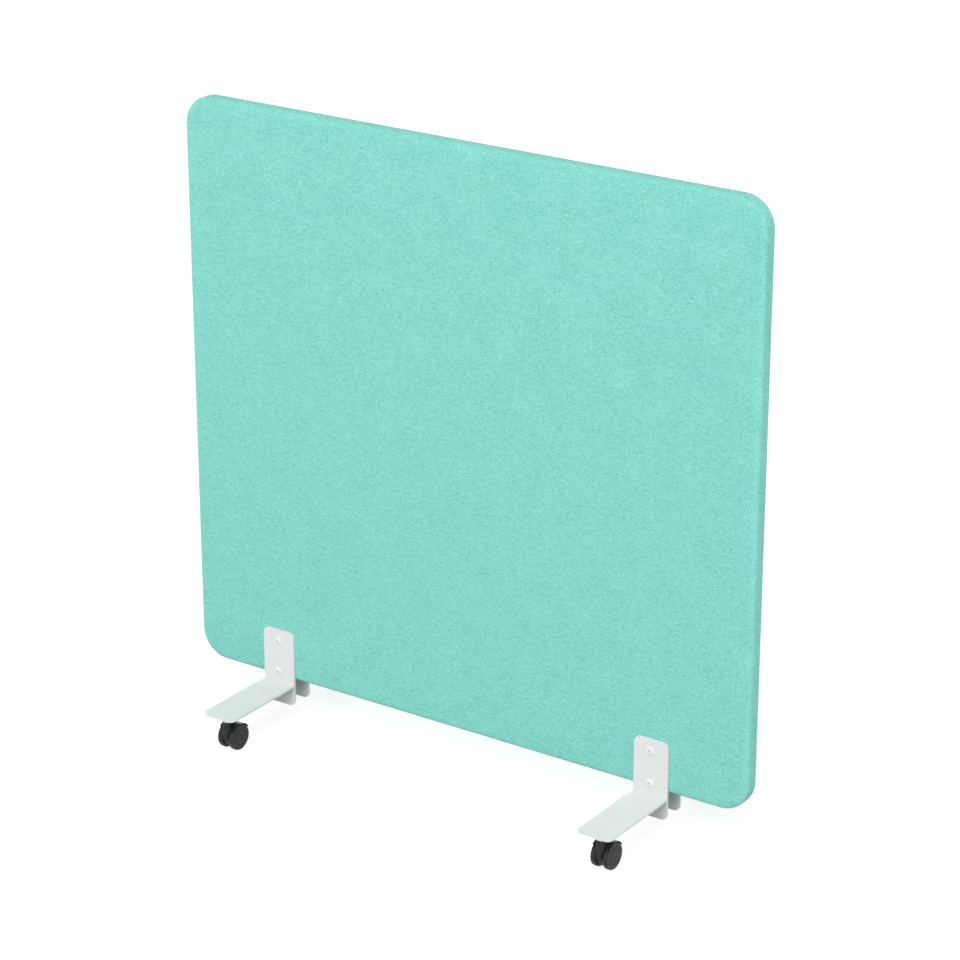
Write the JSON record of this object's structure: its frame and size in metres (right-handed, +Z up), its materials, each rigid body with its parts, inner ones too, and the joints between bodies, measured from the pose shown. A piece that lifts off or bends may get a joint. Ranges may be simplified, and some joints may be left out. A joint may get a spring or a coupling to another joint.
{
  "type": "acoustic divider screen",
  "caption": "Free-standing fabric-covered acoustic panel with rounded corners, clamped between white steel foot plates on swivel casters.",
  "frame": {"origin": "on the floor below the centre of the panel, where the casters' wheels touch down", "axes": "+X along the panel to the right as seen from the front, +Y towards the back of the screen, +Z up"},
  "size_m": [1.2, 0.422, 1.188],
  "materials": {
    "fabric": "woven polyester melange, mint green",
    "foam": "open-cell foam sheet",
    "felt": "pressed polyester felt board",
    "wood": "planed, unfinished",
    "white_steel": "fine-textured white powder coat on sheet steel",
    "white_screws": "white coated flanged button-head screws",
    "zinc_steel": "bright zinc plated",
    "caster_nylon": "moulded black nylon",
    "wheel_nylon": "moulded black nylon, satin on the tread"
  },
  "bodies": {
    "screen": {"fabric_cover": "fabric", "front_foam": "foam", "rear_foam": "foam", "infill_board": "felt", "left_stile": "wood", "right_stile": "wood", "top_rail": "wood", "bottom_rail": "wood", "frame_dowels": "wood", "clamp_sleeves": "zinc_steel", "clamp_screws": "white_screws", "weld_beads": "white_steel", "caster_bosses": "white_steel", "upright_front_left": "white_steel", "upright_front_right": "white_steel", "upright_rear_left": "white_steel", "upright_rear_right": "white_steel", "foot_plate_front_left": "white_steel", "foot_plate_front_right": "white_steel", "foot_plate_rear_left": "white_steel", "foot_plate_rear_right": "white_steel", "caster_stem_front_left": "zinc_steel", "caster_stem_front_right": "zinc_steel", "caster_stem_rear_left": "zinc_steel", "caster_stem_rear_right": "zinc_steel", "stem_ring_front_left": "zinc_steel", "stem_ring_front_right": "zinc_steel", "stem_ring_rear_left": "zinc_steel", "stem_ring_rear_right": "zinc_steel"},
    "caster_front_left": {"caster_housing_front_left": "caster_nylon", "wheel_axle_front_left": "zinc_steel"},
    "wheel_front_left_left_body": {"wheel_front_left_left": "wheel_nylon"},
    "wheel_front_left_right_body": {"wheel_front_left_right": "wheel_nylon"},
    "caster_front_right": {"caster_housing_front_right": "caster_nylon", "wheel_axle_front_right": "zinc_steel"},
    "wheel_front_right_left_body": {"wheel_front_right_left": "wheel_nylon"},
    "wheel_front_right_right_body": {"wheel_front_right_right": "wheel_nylon"},
    "caster_rear_left": {"caster_housing_rear_left": "caster_nylon", "wheel_axle_rear_left": "zinc_steel"},
    "wheel_rear_left_left_body": {"wheel_rear_left_left": "wheel_nylon"},
    "wheel_rear_left_right_body": {"wheel_rear_left_right": "wheel_nylon"},
    "caster_rear_right": {"caster_housing_rear_right": "caster_nylon", "wheel_axle_rear_right": "zinc_steel"},
    "wheel_rear_right_left_body": {"wheel_rear_right_left": "wheel_nylon"},
    "wheel_rear_right_right_body": {"wheel_rear_right_right": "wheel_nylon"}
  },
  "joints": [
    {"name": "caster_swivel_front_left", "type": "hinge", "parent": "screen", "child": "caster_front_left", "pos_m": [-0.41, -0.183, 0.063], "axis": [0, 0, 1], "continuous": true},
    {"name": "wheel_spin_front_left_left", "type": "hinge", "parent": "caster_front_left", "child": "wheel_front_left_left_body", "pos_m": [-0.41, -0.165, 0.025], "axis": [1, 0, 0], "continuous": true},
    {"name": "wheel_spin_front_left_right", "type": "hinge", "parent": "caster_front_left", "child": "wheel_front_left_right_body", "pos_m": [-0.41, -0.165, 0.025], "axis": [1, 0, 0], "continuous": true},
    {"name": "caster_swivel_front_right", "type": "hinge", "parent": "screen", "child": "caster_front_right", "pos_m": [0.41, -0.183, 0.063], "axis": [0, 0, 1], "continuous": true},
    {"name": "wheel_spin_front_right_left", "type": "hinge", "parent": "caster_front_right", "child": "wheel_front_right_left_body", "pos_m": [0.41, -0.165, 0.025], "axis": [1, 0, 0], "continuous": true},
    {"name": "wheel_spin_front_right_right", "type": "hinge", "parent": "caster_front_right", "child": "wheel_front_right_right_body", "pos_m": [0.41, -0.165, 0.025], "axis": [1, 0, 0], "continuous": true},
    {"name": "caster_swivel_rear_left", "type": "hinge", "parent": "screen", "child": "caster_rear_left", "pos_m": [-0.41, 0.183, 0.063], "axis": [0, 0, 1], "continuous": true},
    {"name": "wheel_spin_rear_left_left", "type": "hinge", "parent": "caster_rear_left", "child": "wheel_rear_left_left_body", "pos_m": [-0.41, 0.165, 0.025], "axis": [1, 0, 0], "continuous": true},
    {"name": "wheel_spin_rear_left_right", "type": "hinge", "parent": "caster_rear_left", "child": "wheel_rear_left_right_body", "pos_m": [-0.41, 0.165, 0.025], "axis": [1, 0, 0], "continuous": true},
    {"name": "caster_swivel_rear_right", "type": "hinge", "parent": "screen", "child": "caster_rear_right", "pos_m": [0.41, 0.183, 0.063], "axis": [0, 0, 1], "continuous": true},
    {"name": "wheel_spin_rear_right_left", "type": "hinge", "parent": "caster_rear_right", "child": "wheel_rear_right_left_body", "pos_m": [0.41, 0.165, 0.025], "axis": [1, 0, 0], "continuous": true},
    {"name": "wheel_spin_rear_right_right", "type": "hinge", "parent": "caster_rear_right", "child": "wheel_rear_right_right_body", "pos_m": [0.41, 0.165, 0.025], "axis": [1, 0, 0], "continuous": true}
  ]
}
